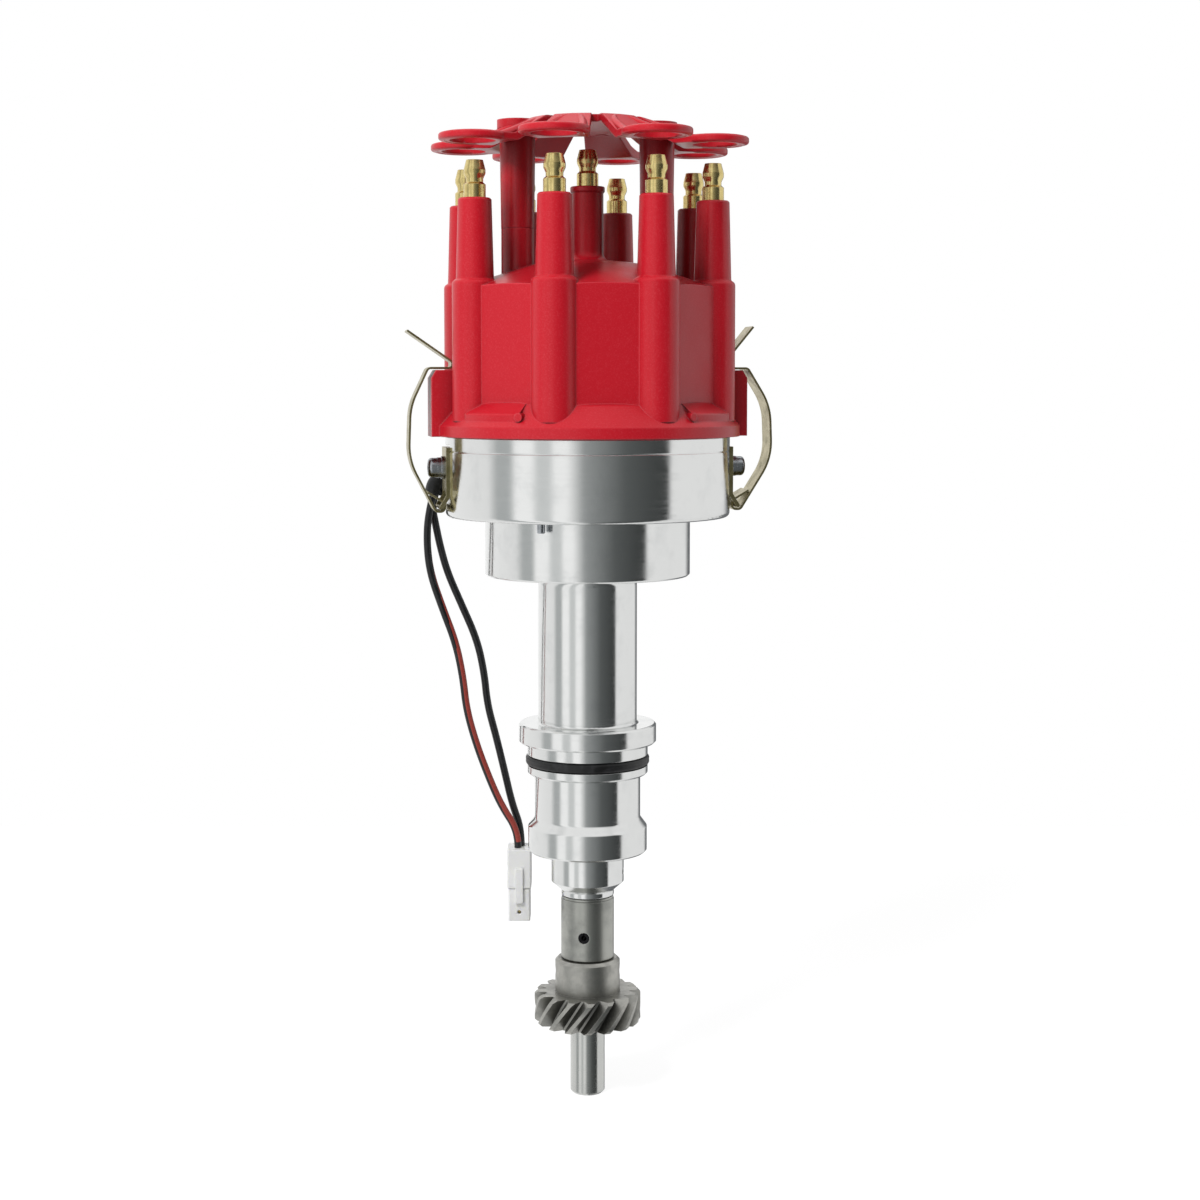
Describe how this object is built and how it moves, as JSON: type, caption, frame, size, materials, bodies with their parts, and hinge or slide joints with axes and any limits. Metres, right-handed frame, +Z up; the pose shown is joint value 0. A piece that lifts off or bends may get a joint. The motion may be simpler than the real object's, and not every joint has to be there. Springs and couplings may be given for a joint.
{
  "type": "ignition distributor",
  "caption": "Billet ignition distributor with a drive gear, clipped cap with stud terminals, wire retainer and electronic trigger leads.",
  "frame": {"origin": "on the shaft axis, in the plane of the underside of the hold-down collar that rests on the engine block", "axes": "+Z up along the shaft towards the cap, -Y towards the front of the distributor, with the spring clips near -X and +X"},
  "size_m": [0.122, 0.1046, 0.3259],
  "materials": {
    "machined_aluminium": "satin",
    "moulded_red": "matte",
    "brass": "polished",
    "bearing_bronze": "satin",
    "ground_steel": "satin",
    "gear_iron": "satin",
    "collar_steel": "satin",
    "spring_steel": "satin",
    "zinc_plate": "satin",
    "black_rubber": "matte",
    "black_moulding": "matte",
    "carbon": "matte",
    "natural_nylon": "translucent",
    "lead_insulation": "satin"
  },
  "bodies": {
    "housing_body": {"housing": "machined_aluminium", "o_ring": "black_rubber", "lower_bushing": "bearing_bronze", "bearing_outer_race": "ground_steel", "bearing_snap_ring": "spring_steel", "base_plate": "machined_aluminium", "base_screws": "ground_steel", "ignition_module": "black_moulding", "module_screws": "ground_steel", "pickup_coil": "black_moulding", "pickup_pole": "collar_steel", "locating_pin": "ground_steel", "cap": "moulded_red", "plug_terminals": "brass", "coil_terminal": "brass", "brush_spring": "spring_steel", "wire_retainer": "moulded_red", "retainer_screws": "ground_steel", "clip_bracket_left": "zinc_plate", "clip_bracket_right": "zinc_plate", "clip_washers": "ground_steel", "clip_screws": "ground_steel", "lead_grommet": "black_rubber", "lead_traced": "lead_insulation", "lead_black": "lead_insulation", "connector_shell": "natural_nylon", "connector_contacts": "brass"},
    "shaft": {"main_shaft": "ground_steel", "bearing_inner_race": "ground_steel", "thrust_washer": "bearing_bronze", "shaft_collar": "collar_steel", "collar_pin": "spring_steel", "drive_gear": "gear_iron", "gear_pin": "spring_steel", "centre_cam": "collar_steel", "stop_bushing": "brass"},
    "ball_set": {"bearing_balls": "ground_steel", "bearing_cage": "brass"},
    "advance_assembly": {"advance_sleeve": "ground_steel", "advance_plate": "ground_steel", "weight_pins": "ground_steel", "weight_clips": "spring_steel", "advance_spring_a": "spring_steel", "advance_spring_b": "spring_steel", "reluctor": "collar_steel", "reluctor_pin": "spring_steel", "rotor_posts": "ground_steel", "rotor": "black_moulding", "rotor_blade": "brass", "rotor_contact_spring": "spring_steel", "rotor_screws": "ground_steel"},
    "flyweight_a": {"weight_a": "collar_steel"},
    "flyweight_b": {"weight_b": "collar_steel"},
    "brush": {"carbon_brush": "carbon"},
    "clip_left": {"spring_clip_left": "zinc_plate"},
    "clip_right": {"spring_clip_right": "zinc_plate"}
  },
  "joints": [
    {"name": "shaft_spin", "type": "hinge", "parent": "housing_body", "child": "shaft", "pos_m": [0, 0, 0], "axis": [0, 0, 1], "continuous": true},
    {"name": "ball_train", "type": "hinge", "parent": "housing_body", "child": "ball_set", "pos_m": [0, 0, 0.069], "axis": [0, 0, 1], "continuous": true},
    {"name": "advance", "type": "hinge", "parent": "shaft", "child": "advance_assembly", "pos_m": [0, 0, 0.098], "axis": [0, 0, 1], "range_deg": [0, 12], "stiffness_Nm_per_rad": 0.4, "deforming": ["advance_spring_a", "advance_spring_b"]},
    {"name": "weight_a_swing", "type": "hinge", "parent": "advance_assembly", "child": "flyweight_a", "pos_m": [-0.01789, 0.011, 0.102], "axis": [0, 0, 1], "range_deg": [0, 20]},
    {"name": "weight_b_swing", "type": "hinge", "parent": "advance_assembly", "child": "flyweight_b", "pos_m": [0.01789, -0.011, 0.102], "axis": [0, 0, 1], "range_deg": [0, 20]},
    {"name": "brush_slide", "type": "slide", "parent": "housing_body", "child": "brush", "axis": [0, 0, 1], "range_m": [0, 0.0015], "stiffness_N_per_m": 200, "deforming": ["brush_spring"]},
    {"name": "clip_left_hinge", "type": "hinge", "parent": "housing_body", "child": "clip_left", "pos_m": [-0.04883, -0.00747, 0.0794], "axis": [0.1513, -0.9885, 0], "range_deg": [0, 75]},
    {"name": "clip_right_hinge", "type": "hinge", "parent": "housing_body", "child": "clip_right", "pos_m": [0.04883, 0.00747, 0.0794], "axis": [-0.1513, 0.9885, 0], "range_deg": [0, 75]}
  ],
  "couplings": [
    {"joint": "ball_train", "follows": "shaft_spin", "ratio": 0.36364},
    {"joint": "weight_a_swing", "follows": "advance", "ratio": 1.65},
    {"joint": "weight_b_swing", "follows": "advance", "ratio": 1.65}
  ]
}
